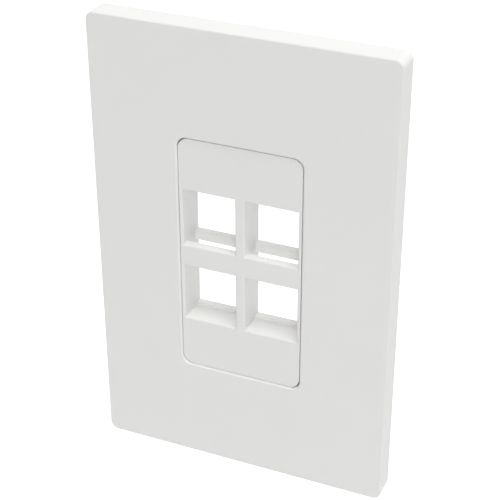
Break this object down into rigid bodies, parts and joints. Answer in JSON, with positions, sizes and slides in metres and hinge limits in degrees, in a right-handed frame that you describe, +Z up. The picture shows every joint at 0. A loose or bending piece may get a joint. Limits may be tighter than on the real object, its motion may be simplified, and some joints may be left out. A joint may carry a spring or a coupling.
{
  "type": "keystone faceplate",
  "caption": "Flat upright wall plate with no visible screws and a central insert of rectangular keystone ports, which hold snap-in network jacks.",
  "frame": {"origin": "middle of the wall plane, which the rear rim of the cover and the backs of the mounting ears touch", "axes": "+Z up the plate, +X to the right as seen from the front, +Y into the wall; the front faces -Y"},
  "size_m": [0.0806, 0.0093, 0.125],
  "materials": {
    "cover_plastic": "satin white moulded thermoplastic",
    "frame_plastic": "plain white moulded thermoplastic, as moulded",
    "insert_plastic": "satin white moulded thermoplastic",
    "screw_steel": "zinc-plated steel"
  },
  "bodies": {
    "root": {"cover_plate": "cover_plastic", "sub_plate": "frame_plastic", "keystone_insert": "insert_plastic", "plate_screws": "screw_steel"}
  },
  "joints": []
}
